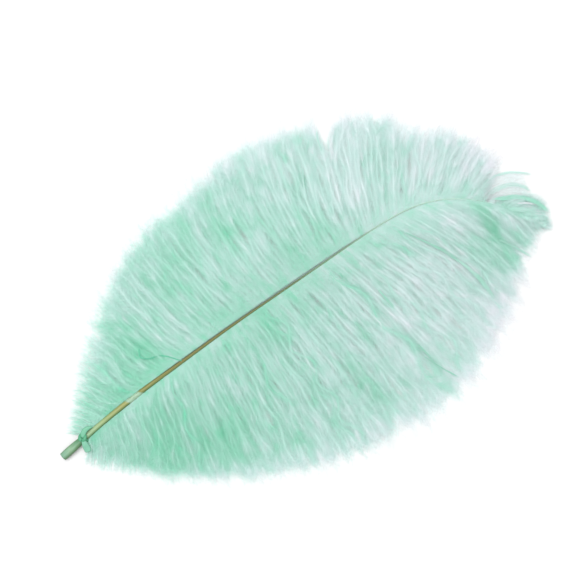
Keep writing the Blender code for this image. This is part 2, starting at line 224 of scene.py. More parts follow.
# Sprays of free barbs that lie over the vanes. Each runs between two routes, with points from the cut
# end of the quill in plan, and has a number of barbs, a dye, a painted shade that darkens its colour,
# and the length of its barbules.
# A haze has thinner barbs than the others
SPRAY_LIFT = 0.0006
SPRAY_SHAKE = 0.0004
SPRAY_ANGLES = (4.0, 20.0)
SPRAY_FLUFF = ((0.0, 0.5), (0.3, 1.0), (0.8, 1.0), (1.0, 0.4))
SPRAY_FADE = 0.0005
SPRAY_POINTS = 24
SPRAY_SMOOTHING = 7
SPRAY_SPREAD = (0.3, 1.0)
SPRAYS = (
    {"routes": (((0.266, 0.0275), (0.2753, 0.0304), (0.2851, 0.0296), (0.295, 0.0245)),
                ((0.27, 0.018), (0.278, 0.0188), (0.286, 0.0172), (0.2925, 0.0122))),
     "barbs": 18, "dye": 0.0, "painted_shade": 0.0, "fluff": 0.0034, "thick": 0.32},
    {"routes": (((0.2034, 0.079), (0.2072, 0.0885), (0.2118, 0.0985)),
                ((0.205, 0.079), (0.2092, 0.088), (0.2152, 0.097))),
     "barbs": 9, "dye": -0.4, "painted_shade": 0.0, "fluff": 0.003, "thick": 0.13},
    {"routes": (((0.2676, 0.0285), (0.2763, 0.0314), (0.2851, 0.0306), (0.2982, 0.024)),
                ((0.268, 0.0279), (0.277, 0.0306), (0.2865, 0.0292), (0.299, 0.022))),
     "barbs": 3, "dye": 0.6, "painted_shade": 0.06, "fluff": 0.0011},
    {"routes": (((0.271, 0.0248), (0.28, 0.0252), (0.287, 0.0232), (0.2943, 0.0168)),
                ((0.272, 0.023), (0.2815, 0.0231), (0.288, 0.0206), (0.294, 0.0146))),
     "barbs": 4, "dye": 0.6, "painted_shade": 0.06, "fluff": 0.0011},
    {"routes": (((0.272, 0.0206), (0.2858, 0.0162), (0.2922, 0.0106), (0.2978, 0.0018)),
                ((0.277, 0.0176), (0.2864, 0.0138), (0.292, 0.0086), (0.297, 0.0005))),
     "barbs": 8, "dye": 0.8, "painted_shade": 0.0, "fluff": 0.0017},
    {"routes": (((0.28, 0.0115), (0.2885, 0.0062), (0.293, 0.001), (0.2958, -0.0034)),
                ((0.2768, 0.0115), (0.2858, 0.0055), (0.2905, -0.0006), (0.2923, -0.0071))),
     "barbs": 7, "dye": 0.6, "painted_shade": 0.0, "fluff": 0.002},
    {"routes": (((0.2835, 0.0125), (0.2888, 0.0101), (0.293, 0.007)),
                ((0.2835, 0.0122), (0.2886, 0.0097), (0.2927, 0.0066))),
     "barbs": 2, "dye": -0.4, "painted_shade": 0.0, "fluff": 0.0007},
    {"routes": (((0.2895, 0.0029), (0.292, 0.0015), (0.2954, -0.0011)),
                ((0.2906, -0.0008), (0.293, -0.0022), (0.2952, -0.0037))),
     "barbs": 2, "dye": -0.2, "painted_shade": 0.0, "fluff": 0.0006},
    {"routes": (((0.266, -0.0012), (0.269, -0.0042), (0.2719, -0.0078), (0.2782, -0.0171)),
                ((0.2655, -0.0012), (0.2684, -0.0044), (0.2713, -0.0081), (0.2776, -0.0172))),
     "barbs": 3, "dye": 0.8, "painted_shade": 0.1, "fluff": 0.0009},
    {"routes": (((0.2516, -0.0153), (0.2545, -0.0196), (0.2575, -0.0243), (0.2628, -0.0319)),
                ((0.25, -0.0173), (0.253, -0.0226), (0.256, -0.0273), (0.2612, -0.0322))),
     "barbs": 5, "dye": 0.3, "painted_shade": 0.06, "fluff": 0.0016},
    {"routes": (((0.082, 0.0182), (0.0725, 0.026), (0.0659, 0.0275), (0.0633, 0.0294),
                 (0.065, 0.0353)),
                ((0.082, 0.0178), (0.0723, 0.0256), (0.0657, 0.0271), (0.0628, 0.0292),
                 (0.0642, 0.0352))),
     "barbs": 4, "dye": 1.5, "painted_shade": 0.2, "fluff": 0.0009},
    {"routes": (((0.2215, 0.0254), (0.231, 0.0139), (0.2371, 0.0066), (0.2415, -0.0015)),
                ((0.2215, 0.0252), (0.2306, 0.0137), (0.2362, 0.0061), (0.2405, -0.0018))),
     "barbs": 5, "dye": 0.9, "painted_shade": 0.12, "fluff": 0.001},
    {"routes": (((0.239, 0.0022), (0.2432, -0.0048), (0.2472, -0.0139), (0.25, -0.0285)),
                ((0.2385, 0.0022), (0.2422, -0.005), (0.2458, -0.0143), (0.2485, -0.0285))),
     "barbs": 7, "dye": 0.75, "painted_shade": 0.05, "fluff": 0.0012},
)
FAINT_STROKES = (
    (((0.1888, 0.0815), (0.1925, 0.0876), (0.1976, 0.0941)),
     ((0.1885, 0.0815), (0.1922, 0.0878), (0.1972, 0.0941))),
    (((0.1819, 0.0654), (0.1849, 0.0761), (0.1886, 0.0834)),
     ((0.1816, 0.0656), (0.1845, 0.0761), (0.1881, 0.0834))),
    (((0.2015, 0.0861), (0.2025, 0.0929), (0.2044, 0.098)),
     ((0.2012, 0.0861), (0.2021, 0.0929), (0.2038, 0.098))),
)
STROKES = (
    (((0.1754, -0.0056), (0.1764, -0.011), (0.1771, -0.0181)),
     ((0.1757, -0.0056), (0.1768, -0.011), (0.1775, -0.0181))),
    (((0.2005, -0.0322), (0.2029, -0.0396), (0.2041, -0.0469)),
     ((0.2008, -0.0322), (0.2033, -0.0396), (0.2046, -0.0469))),
    (((0.2009, -0.0398), (0.2058, -0.0483), (0.2128, -0.0586)),
     ((0.2012, -0.0398), (0.2062, -0.0483), (0.2131, -0.0584))),
    (((0.1671, -0.0258), (0.1671, -0.0356), (0.1673, -0.0497)),
     ((0.1674, -0.0258), (0.1675, -0.0356), (0.1678, -0.0497))),
    (((0.1945, 0.0043), (0.1959, -0.0013), (0.1981, -0.0091)),
     ((0.1948, 0.0043), (0.1963, -0.0013), (0.1986, -0.0091))),
)
# Strokes have a dye and a painted shade that darkens their colour
FAINT_STROKE = {"barbs": 3, "dye": 0.55, "painted_shade": 0.06, "fluff": 0.001}
STROKE = {"barbs": 3, "dye": 0.9, "painted_shade": 0.1, "fluff": 0.001}
SPRAYS += tuple({"routes": routes, **FAINT_STROKE} for routes in FAINT_STROKES)
SPRAYS += tuple({"routes": routes, **STROKE} for routes in STROKES)

# Dye: how deep its colour is along the shaft, and what is added at the tips, near the shaft and in
# patches. A patch has its vane, place, share of the length, its reach in both, and what it adds
DYE_ALONG = ((0.0, 0.68), (0.045, 0.72), (0.065, 0.74), (0.09, 0.58), (0.12, 0.5), (0.15, 0.42),
             (0.18, 0.31), (0.21, 0.18), (0.235, 0.18), (0.26, 0.12), (0.285, 0.28),
             (SHAFT_LENGTH, 0.3))
DYE_PATCHES = (
    ("left", 0.02, 1.05, 0.02, 0.25, -0.3),
    ("left", 0.03, 0.5, 0.012, 0.25, 0.2),
    ("left", 0.048, 0.15, 0.018, 0.22, 0.2),
    ("left", 0.065, 0.75, 0.016, 0.15, -0.25),
    ("left", 0.075, 0.35, 0.012, 0.2, 0.2),
    ("left", 0.095, 1.0, 0.02, 0.2, -0.12),
    ("left", 0.112, 0.4, 0.012, 0.2, 0.12),
    ("left", 0.12, 0.62, 0.012, 0.15, 0.2),
    ("left", 0.13, 0.76, 0.003, 0.15, 0.3),
    ("left", 0.145, 0.6, 0.0045, 0.25, 0.3),
    ("left", 0.152, 0.52, 0.012, 0.25, 0.28),
    ("left", 0.164, 1.0, 0.02, 0.25, -0.2),
    ("left", 0.18, 0.3, 0.014, 0.16, 0.25),
    ("left", 0.19, 0.78, 0.0014, 0.1, 0.3),
    ("left", 0.225, 0.5, 0.02, 0.35, 0.22),
    ("left", 0.235, 0.9, 0.03, 0.22, -0.18),
    ("left", 0.262, 0.75, 0.012, 0.3, -0.35),
    ("right", 0.022, 0.1, 0.008, 0.2, 0.3),
    ("right", 0.025, 0.8, 0.015, 0.3, -0.2),
    ("right", 0.055, 0.1, 0.014, 0.2, -0.2),
    ("right", 0.06, 0.7, 0.02, 0.25, 0.1),
    ("right", 0.065, 0.25, 0.012, 0.2, 0.2),
    ("right", 0.072, 0.6, 0.014, 0.25, 0.22),
    ("right", 0.09, 0.65, 0.01, 0.2, 0.2),
    ("right", 0.1, 0.5, 0.014, 0.25, 0.22),
    ("right", 0.132, 0.7, 0.01, 0.2, -0.16),
    ("right", 0.155, 0.69, 0.0018, 0.12, 0.45),
    ("right", 0.166, 0.44, 0.002, 0.06, 0.5),
    ("right", 0.181, 0.82, 0.002, 0.13, 0.45),
    ("right", 0.184, 0.39, 0.0016, 0.07, 0.4),
    ("right", 0.218, 0.85, 0.01, 0.2, -0.14),
    ("right", 0.236, 0.5, 0.01, 0.2, 0.25),
    ("right", 0.236, 0.68, 0.007, 0.18, 0.25),
    ("right", 0.245, 0.8, 0.006, 0.14, 0.6),
    ("right", 0.252, 0.58, 0.0065, 0.18, 0.8),
    ("right", 0.26, 0.38, 0.006, 0.16, 0.7),
    ("right", 0.264, 0.18, 0.006, 0.13, 0.75),
    ("right", 0.267, 0.7, 0.006, 0.2, 0.65),
)
DYE_AT_TIPS = -0.4
TIP_DYE_SPAN = (0.8, 1.0)
DYE_AT_ROOTS = ((0.0, 0.0), (0.03, 0.1), (0.08, 0.06), (0.12, 0.2), (0.15, 0.27), (0.2, 0.33),
                (0.25, 0.2), (SHAFT_LENGTH, 0.2))
ROOT_DYE_SPAN = (0.03, 0.35)

# Painted shade: how much the barbs' colour is darkened along the shaft where they crowd together at
# it, for their shadow on each other, and at their thin tips, where lone barbs would otherwise look too
# bright. The tips' painted shade starts from the edge at a few times the length over which the fluff
# thins out
ROOT_PAINTED_SHADE = ((0.0, 0.0), (0.08, 0.0), (0.12, 0.03), (0.2, 0.03), (0.235, 0.0), (SHAFT_LENGTH, 0.0))
ROOT_PAINTED_SHADE_SPAN = (0.06, 0.36)
TIP_PAINTED_SHADE = ((0.0, 0.0), (0.05, 0.05), (0.24, 0.05), (0.262, 0.05), (SHAFT_LENGTH, 0.0))
TIP_PAINTED_SHADE_SPAN = 3.0

# Barbules: fine leaves along both sides of a barb. Towards its tip fewer and fewer of them are left
BARBULE_STEP = 0.000121
BARBULE_LENGTHS = ((0.0, 0.0022), (0.1, 0.0036), (0.35, 0.0052), (0.7, 0.0056), (0.87, 0.0052),
                   (1.0, 0.0048))
BARBULE_RANGE = (0.7, 1.15)
KEPT_AT_TIP = 0.0115
MOST_FADE = 9.0
FEWEST_BARBULES = 12
SHORT_FLUFF = (0.45, 0.06)
BARBULE_ANGLES = (6.0, 32.0)
UNDER_ANGLES = (10.0, 46.0)
BARBULE_SPLAY = ((0.0, 26.0), (0.12, 18.0), (0.3, 8.0), (0.5, 8.0), (0.78, 16.0), (1.0, 10.0))
BARBULE_RISE = (-8.0, 20.0)
TUFT_SPACING = 0.0016
TUFT_DEPTH = 0.35
RIB_STEP = 0.0026
RIB_LIFT = 0.00005
RIB_WIDTHS = ((0.0, 0.00028), (0.3, 0.00028), (0.75, 0.00018), (1.0, 0.00005))
# Share of a rib's length over which its painted highlight grows in
RIB_HIGHLIGHT_SPAN = (0.02, 0.3)
RIB_STROKES = 1.3
FEWEST_RIB_POINTS = 5
PIECE_FACES = 190000
ATLAS_ROWS = 3
ATLAS_HALF = 0.45
ATLAS_MARGIN = 0.02

# Looks. Colours are as on a screen, 0 to 255. Those of the vanes and the string go by the dye's depth
VANE_COLOURS = ((0.0, (241, 238, 243)), (0.2, (230, 238, 239)), (0.4, (206, 232, 226)),
                (0.6, (174, 227, 209)), (0.8, (138, 229, 199)), (1.0, (98, 226, 185)))
DYE_SCALE = 0.4
DYE_START = 0.2
BLOTCH_SCALE = 130.0
BLOTCH_DEPTH = 0.48
# How much paler the ribs are painted, as a highlight
RIB_PAINTED_HIGHLIGHT = -0.05
VANE_ROUGHNESS = 0.6
VANE_SPECULAR = 0.25
SHINES_THROUGH = 0.5
# The shaft darkens towards its edges: partly its own darker edges, partly painted shade, heaviest on
# its right half, away from the light
SHAFT_EDGES_AND_SHADE = ((0.0, -0.95, 0.9), (0.7, 1.0, 0.55))
EDGES_AND_SHADE_FADE = (0.24, 0.16)
EDGE_AND_SHADE_COLOUR = (58, 98, 54)
GRAIN_SCALES = {"place": 260.0, "across": 3.0}
GRAIN_SPAN = (0.45, 0.75)
GRAIN_DEPTH = 0.35
GRAIN_COLOUR = (92, 104, 54)
SCRIBBLE_SCALE = 900.0
SCRIBBLE_SPAN = (0.03, 0.0)
SCRIBBLE_DEPTH = 0.75
PITH_COLOURS = ((136, 164, 140), (66, 96, 58))
SHAFT_ROUGHNESS = 0.38
SHAFT_SPECULAR = 0.4
STRING_COLOURS = ((0.0, (116, 172, 148)), (0.5, (92, 156, 126)), (1.0, (64, 138, 102)))
WEAR_SCALE = 700.0
WEAR_DEPTH = 0.6
STRING_ROUGHNESS = 0.55

# Camera, light and floor
VIEW_TURN = -26.7
VIEW_CENTRE = (0.0013, 0.0104, 0.005)
VIEW_WIDTH = 0.3136
LENS = 85.0
SENSOR = 36.0
VIEW_DEPTH = 50.0
SKY_STRENGTH = 0.94
KEY_SIZE = 0.8
KEY_ENERGY = 15.0
KEY_ASIDE = 0.24
KEY_HEIGHT = 1.2
FLOOR_SIZE = 8.0
FLOOR_GREY = 0.63
FLOOR_ROUGHNESS = 0.9
FLOOR_SPECULAR = 0.1


def along(table, place):
    """The value at each place, on a smooth curve through the rows of a table."""
    places, values = np.array(table, float).T
    slopes = np.gradient(values, places)
    row = np.clip(np.searchsorted(places, place) - 1, 0, len(places) - 2)
    gap = places[row + 1] - places[row]
    t = np.clip((place - places[row]) / gap, 0.0, 1.0)
    start = (1 + 2 * t) * (1 - t) ** 2 * values[row] + t * (1 - t) ** 2 * gap * slopes[row]
    end = t * t * (3 - 2 * t) * values[row + 1] + t * t * (t - 1) * gap * slopes[row + 1]
    return start + end


def smoothstep(low, high, value):
    t = np.clip((value - low) / (high - low), 0.0, 1.0)
    return t * t * (3.0 - 2.0 * t)


def shaft_points():
    """Points along the shaft's centre line at the flow's places."""
    step = FLOW_PLACES[1]
    heading = np.radians(along(SHAFT_HEADINGS, FLOW_PLACES[:-1] + step / 2))
    moves = np.stack([np.cos(heading), np.sin(heading)], axis=1) * step
    plan = np.vstack([[0.0, 0.0], np.cumsum(moves, axis=0)]) - MIDDLE
    return np.column_stack([plan, along(SHAFT_HEIGHTS, FLOW_PLACES)])


SHAFT = shaft_points()


def shaft_at(places):
    return np.stack([np.interp(places, FLOW_PLACES, SHAFT[:, k]) for k in range(3)], axis=-1)


def shaft_side(places):
    """Unit vectors to the shaft's left."""
    angle = np.radians(along(SHAFT_HEADINGS, places))
    return np.stack([-np.sin(angle), np.cos(angle), np.zeros_like(angle)], axis=-1)


def flow_grid(vane):
    """Points of the barb lines: one line for each place, one point for each share of its length."""
    root = along(vane["root_headings"], FLOW_PLACES)[:, None]
    edge = along(vane["edge_headings"], FLOW_PLACES)[:, None]
    length = along(vane["lengths"], FLOW_PLACES)[:, None]
    step = FLOW_SHARES[1]
    share = np.minimum(FLOW_SHARES[:-1] + step / 2, TURNS_UNTIL)[None, :]
    angle = np.radians(root + (edge - root) * share)
    moves = np.stack([np.cos(angle), np.sin(angle)], axis=2) * (length * step)[:, :, None]
    lines = np.cumsum(np.concatenate([np.zeros((len(FLOW_PLACES), 1, 2)), moves], axis=1), axis=1)
    aside = along(SHAFT_WIDTHS, FLOW_PLACES)[:, None, None] * ROOT_ASIDE
    side = shaft_side(FLOW_PLACES)[:, None, :2] * vane["hand"]
    fade = (1 - smoothstep(*ROOT_SPAN, FLOW_SHARES))[None, :, None]
    lines += SHAFT[:, None, :2] + side * aside * fade
    swell = SWELL * np.minimum(1.0, length / SHORT_BARB)
    swell = swell * np.sin(math.pi * FLOW_SHARES ** SWELL_SHAPE).clip(0)
    fall = smoothstep(0.0, LANDS_AT, FLOW_SHARES)[None, :]
    height = SHAFT[:, 2:3] * (1 - fall) + TIP_HEIGHT * fall + swell
    return np.concatenate([lines, height[:, :, None]], axis=2)


def flow_at(grid, places, shares):
    """Points of the flow, between the grid's own."""
    row = np.clip(places / FLOW_PLACES[1], 0, len(FLOW_PLACES) - 1.001)
    col = np.clip(shares / FLOW_SHARES[1], 0, len(FLOW_SHARES) - 1.001)
    i, j = row.astype(int), col.astype(int)
    a, b = (row - i)[:, None], (col - j)[:, None]
    low = grid[i, j] * (1 - b) + grid[i, j + 1] * b
    high = grid[i + 1, j] * (1 - b) + grid[i + 1, j + 1] * b
    return low * (1 - a) + high * a


def gather(count, sizes, chance):
    """Puts neighbours into groups of a few, and gives each its group's number."""
    group, owner = 0, []
    while len(owner) < count:
        owner += [group] * int(chance.integers(sizes[0], sizes[1] + 1))
        group += 1
    return np.array(owner[:count])


def draw_groups(rule, groups, chance):
    """How each group of a level gathers, wanders and swings."""
    return {
        "pull": (rule["pull"] * chance.uniform(*PULL_RANGE, groups)).clip(0, MOST_PULL),
        "wander": rule["wander"] * chance.normal(size=groups),
        "turn": chance.uniform(0, 2 * math.pi, groups),
        "wave": rule["wave"] * chance.uniform(*WAVE_RANGE, groups),
        "stroke": rule["stroke"] * chance.uniform(*STROKE_RANGE, groups),
        "first": chance.uniform(0, 2 * math.pi, groups),
        "second": chance.uniform(0, 2 * math.pi, groups),
    }


def let_stray(barbs, chance):
    """Lets a few barbs wander off above the others, with more dye."""
    count = len(barbs["place"])
    stray = (chance.random(count) < STRAY_SHARE) & (barbs["place"] > STRAYS_FROM)
    barbs["lift"] += stray * STRAY_LIFT
    barbs["dye"] += stray * STRAY_DYE
    barbs["levels"][0]["wander"] += stray * STRAY_WANDER * chance.choice((-1, 1), count)


def plan_barbs(vane, chance):
    """Every barb of a vane: its place, and for each level its group's centre and small differences."""
    spots = np.linspace(FIRST_BARB, LAST_BARB, 2001)
    crowd = np.cumsum(along(CROWD_ALONG, spots)) * (spots[1] - spots[0]) / BARB_SPACING
    count = int(crowd[-1])
    shake = chance.uniform(-SPACING_SHAKE, SPACING_SHAKE, count)
    places = np.interp(np.arange(count) + 0.5 + shake, crowd, spots)
    fringe = along(vane["fringe"], places) / along(vane["lengths"], places)
    length = BARB_REACH - fringe * chance.random(count) ** FRINGE_SHAPE
    under = chance.random(count) < UNDER_SHARE
    barbs = {"place": places, "levels": [], "length": length, "under": under,
             "lift": -UNDER_DEPTH * under, "dye": UNDER_DYE * under}
    members, centres = np.arange(count), places
    for rule in LEVELS:
        owner = gather(len(centres), rule["group"], chance)
        groups = owner.max() + 1
        centres = np.array([centres[owner == group].mean() for group in range(groups)])
        members = owner[members]
        for name, spread in (("length", "length"), ("lift", "height"), ("dye", "dye")):
            barbs[name] += (rule[spread] * chance.normal(size=groups))[members]
        level = {name: values[members] for name, values in draw_groups(rule, groups, chance).items()}
        level["pull"] = level["pull"] * np.where(under, UNDER_PULL, 1.0) * along(GATHER_ALONG, places)
        if rule is LEVELS[-1]:
            level["wander"] = level["wander"] * along(GATHER_ALONG, places)
        barbs["levels"].append({"centre": centres[members], **level})
    barbs["levels"][0]["wander"] *= along(LOOSE_ALONG, places)
    barbs["tip"] = TIP_SPREAD * chance.normal(size=count)
    let_stray(barbs, chance)
    barbs["length"] = barbs["length"].clip(*LENGTH_SPAN)
    barbs["fade"] = along(vane["fade"], places) / along(vane["lengths"], places)
    return barbs


def swing_at(level, k, distance):
    """A slow swing between -1 and 1 along a barb: where it is high it sinks and its dye is darker."""
    phase = 2 * math.pi * distance / level["stroke"][k]
    (slow, first_rate), (fast, second_rate) = SWINGS
    swing = slow * np.sin(first_rate * phase + level["first"][k])
    return swing + fast * np.sin(second_rate * phase + level["second"][k])


def stand_aside(side, place, shares):
    """Moves barbs away from the gaps between locks."""
    moved = place.copy()
    for vane, middle, opens, gap, reach in PARTINGS:
        if vane == side:
            away = place - middle
            felt = np.tanh(away / PARTING_BLUR) * np.exp(-(away / reach) ** 2)
            moved += gap * felt * smoothstep(opens, PARTING_END, shares)
    return moved


def within_heights(height):
    """Keeps heights above the surface, where they close up, and presses down what stands too high."""
    over = np.maximum(height - CEILING, 0.0)
    span = NEAR_SURFACE - LOWEST
    sunk = LOWEST + span * np.exp(np.minimum(height - NEAR_SURFACE, 0.0) / span)
    return np.where(height < NEAR_SURFACE, sunk, np.minimum(height, CEILING) + OVER_CEILING * over)


def barb_points(side, grid, barbs, k, length, shares):
    """A barb's centre line at shares of its own length."""
    place = np.full_like(shares, barbs["place"][k])
    came_from = barbs["place"][k]
    lift = np.full_like(shares, barbs["lift"][k])
    reach = shares * barbs["length"][k]
    loose = smoothstep(*LOOSENS_SPAN, reach)
    place += barbs["tip"][k] * loose
    for level, rule in zip(barbs["levels"], LEVELS):
        joined = smoothstep(*rule["span"], shares)
        held = joined * (1 - LOOSENS * loose)
        place += held * level["pull"][k] * (level["centre"][k] - came_from)
        came_from = level["centre"][k]
        phase = 2 * math.pi * shares * length / level["wave"][k]
        place += level["wander"][k] * joined * np.sin(phase + level["turn"][k])
        lift -= rule["heave"] * joined * swing_at(level, k, shares * length)
    points = flow_at(grid, stand_aside(side, place, reach), reach)
    points[:, 2] += lift * smoothstep(*LIFT_SPAN, shares)
    points[:, 2] = within_heights(points[:, 2])
    return points


def dye_at(side, place, shares):
    """How deep the dye's colour is along a barb, from 0, pale, to 1, strong."""
    dye = float(along(DYE_ALONG, place)) + DYE_AT_TIPS * smoothstep(*TIP_DYE_SPAN, shares)
    dye = dye + float(along(DYE_AT_ROOTS, place)) * (1 - smoothstep(*ROOT_DYE_SPAN, shares))
    for vane, middle, share, reach, share_reach, depth in DYE_PATCHES:
        if vane == side:
            away = ((place - middle) / reach) ** 2 + ((shares - share) / share_reach) ** 2
            dye = dye + depth * np.exp(-away)
    return dye


def strokes_at(barbs, k, distance):
    """Dark and pale strokes along a barb, its own and those of its groups."""
    total = np.zeros_like(distance)
    for level, rule in zip(barbs["levels"], LEVELS):
        swing = swing_at(level, k, distance)
        total += rule["dark"] * smoothstep(*rule["from"], swing)
        total -= rule["pale"] * smoothstep(*rule["from"], -swing)
    return total


def frame_of(points):
    """Unit vectors ahead, to the left and up along a line."""
    ahead = np.gradient(points, axis=0)
    ahead /= np.linalg.norm(ahead, axis=1)[:, None]
    left = np.cross((0.0, 0.0, 1.0), ahead)
    left /= np.linalg.norm(left, axis=1)[:, None]
    return ahead, left, np.cross(ahead, left)


def tufts(count, step, chance):
    """Barbule lengths that swell and shrink along a barb."""
    knots = max(3, int(count * step / TUFT_SPACING) + 2)
    return 1 + TUFT_DEPTH * np.interp(np.linspace(0, 1, count), np.linspace(0, 1, knots),
                                      chance.uniform(-1, 1, knots))


def barbule_faces(points, length, fluff, fade, most, angles, chance):
    """Two rows of triangles that share a barb's line as their base, as long as the fluff says.

    They thin out to the barb's tip, as the fade says, and no more than a share of them is there."""
    count = len(points) - 1
    shares = (np.arange(count) + 0.5) / count
    ahead, left, up = frame_of(points)
    ahead, left, up = ahead[:-1], left[:-1], up[:-1]
    middle = (points[1:] + points[:-1]) / 2
    reach = along(fluff, shares) * tufts(count, length / count, chance)
    tips = []
    for hand in (1, -1):
        splay = chance.uniform(*angles, count) + along(BARBULE_SPLAY, shares)
        angle = np.radians(splay)[:, None]
        rise = np.radians(chance.normal(*BARBULE_RISE, count))[:, None]
        out = left * hand * np.cos(rise) + up * np.sin(rise)
        far = (reach * chance.uniform(*BARBULE_RANGE, count))[:, None]
        tips.append(middle + (ahead * np.cos(angle) + out * np.sin(angle)) * far)
    base = np.arange(count)
    left_tip, right_tip = count + 1 + base, 2 * count + 1 + base
    faces = np.concatenate([np.stack([base, base + 1, left_tip], axis=1),
                            np.stack([base + 1, base, right_tip], axis=1)])
    kept = KEPT_AT_TIP * np.exp(np.minimum(length * (1 - shares) / fade, MOST_FADE))
    faces = faces[chance.random(2 * count) < np.tile(np.minimum(most, kept), 2)]
    vertices = np.concatenate([points] + tips)
    vertices[:, 2] = within_heights(vertices[:, 2])
    line_share = np.linspace(0, 1, count + 1)
    share = np.concatenate([line_share, shares, shares])
    across = np.concatenate([np.zeros(count + 1), np.ones(count), -np.ones(count)])
    return vertices, faces, share, across


def rib_faces(points, thick):
    """The barb's own narrow ribbon, as thick as a full one or less."""
    count = len(points)
    shares = np.linspace(0, 1, count)
    _, left, _ = frame_of(points)
    half = (along(RIB_WIDTHS, shares) * thick / 2)[:, None]
    vertices = np.concatenate([points + left * half, points - left * half])
    vertices[:, 2] += RIB_LIFT
    base = np.arange(count - 1)
    faces = np.concatenate([np.stack([base, base + count, base + 1], axis=1),
                            np.stack([base + 1, base + count, base + count + 1], axis=1)])
    across = np.concatenate([np.full(count, 0.5), np.full(count, -0.5)])
    return vertices, faces, np.concatenate([shares, shares]), across


def make_barbs(side, vane):
    """All barbs of a vane, in as many pieces as their number of faces asks for."""
    chance = np.random.default_rng(SEED + vane["hand"])
    grid = flow_grid(vane)
    barbs = plan_barbs(vane, chance)
    full_length = along(vane["lengths"], barbs["place"])
    batch, faces_so_far, pieces = [], 0, []
    for k in range(len(barbs["place"])):
        length = full_length[k] * barbs["length"][k]
        count = max(FEWEST_BARBULES, int(length / BARBULE_STEP))
        rib_count = max(FEWEST_RIB_POINTS, int(length / RIB_STEP))
        fine = barb_points(side, grid, barbs, k, length, np.linspace(0, 1, count + 1))
        coarse = barb_points(side, grid, barbs, k, length, np.linspace(0, 1, rib_count))
        angles = UNDER_ANGLES if barbs["under"][k] else BARBULE_ANGLES
        short = min(1.0, SHORT_FLUFF[0] + length / SHORT_FLUFF[1])
        fluff = [(share, reach * short) for share, reach in BARBULE_LENGTHS]
        fade = along(vane["fade"], barbs["place"][k])
        parts = [barbule_faces(fine, length, fluff, fade, 1.0, angles, chance), rib_faces(coarse, 1.0)]
        number = sum(len(part[1]) for part in parts)
        if faces_so_far + number > PIECE_FACES:
            pieces.append(batch)
            batch, faces_so_far = [], 0
        dyes = [barb_dye(side, barbs, k, length, part[2], part is parts[1]) for part in parts]
        # Painted shade, for the barbs' crowding at the shaft and at their thin tips
        painted_shades = [painted_shade_at(barbs, k, part[2] * barbs["length"][k]) for part in parts]
        batch.append((parts, dyes, painted_shades))
        faces_so_far += number
    pieces.append(batch)
    return [build_piece(f"barbs_{side}_{n + 1}", batch) for n, batch in enumerate(pieces)]


def barb_dye(side, barbs, k, length, spots, is_rib):
    """The dye of a barb at shares of its own length."""
    strokes = strokes_at(barbs, k, spots * length) * (RIB_STROKES if is_rib else 1.0)
    return barbs["dye"][k] + dye_at(side, barbs["place"][k], spots * barbs["length"][k]) + strokes


def painted_shade_at(barbs, k, shares):
    """How much painted shade darkens a barb's colour at shares of the vane's width."""
    root, tip = (float(along(table, barbs["place"][k])) for table in (ROOT_PAINTED_SHADE, TIP_PAINTED_SHADE))
    starts = BARB_REACH - TIP_PAINTED_SHADE_SPAN * barbs["fade"][k]
    painted_shade = root * (1 - smoothstep(*ROOT_PAINTED_SHADE_SPAN, shares))
    return painted_shade + tip * smoothstep(starts, BARB_REACH, shares)


def spray_line(plan, flow, chance):
    """A free barb's line over its plan, a little above the flow."""
    nearest = [np.argmin(np.sum((flow[:, :2] - spot) ** 2, axis=1)) for spot in plan]
    padded = np.pad(flow[nearest, 2], SPRAY_SMOOTHING // 2, mode="edge")
    height = np.convolve(padded, np.full(SPRAY_SMOOTHING, 1 / SPRAY_SMOOTHING), "valid")
    height += SPRAY_LIFT + chance.uniform(0, SPRAY_SHAKE)
    return np.column_stack([plan, height])


def make_sprays():
    """The free barbs over the vanes, each at the height of the flow below it."""
    chance = np.random.default_rng(SEED)
    flow = np.concatenate([flow_grid(vane)[::4, :100:3].reshape(-1, 3) for vane in VANES.values()])
    spread = np.linspace(*SPRAY_SPREAD, SPRAY_POINTS)[:, None]
    batch = []
    for spray in SPRAYS:
        first, last = (curve(route, SPRAY_POINTS) - MIDDLE for route in spray["routes"])
        fluff = [(spot, reach * spray["fluff"]) for spot, reach in SPRAY_FLUFF]
        thick = spray.get("thick", 1.0)
        for share in np.linspace(0.0, 1.0, spray["barbs"]):
            plan = first * (1 - share) + last * share
            plan += chance.normal(0, SPRAY_SHAKE / 2, 2) * spread
            line = spray_line(plan, flow, chance)
            length = np.linalg.norm(np.diff(line, axis=0), axis=1).sum()
            fine = curve(line, max(FEWEST_BARBULES, int(length / BARBULE_STEP)))
            parts = [barbule_faces(fine, length, fluff, SPRAY_FADE, thick, SPRAY_ANGLES, chance),
                     rib_faces(line, thick)]
            # Each spray's dye, and its painted shade
            batch.append((parts, [np.full(len(part[2]), spray["dye"]) for part in parts],
                          [np.full(len(part[2]), spray["painted_shade"]) for part in parts]))
    return build_piece("free_barbs", batch)


def link(thing):
    bpy.context.collection.objects.link(thing)
    return thing


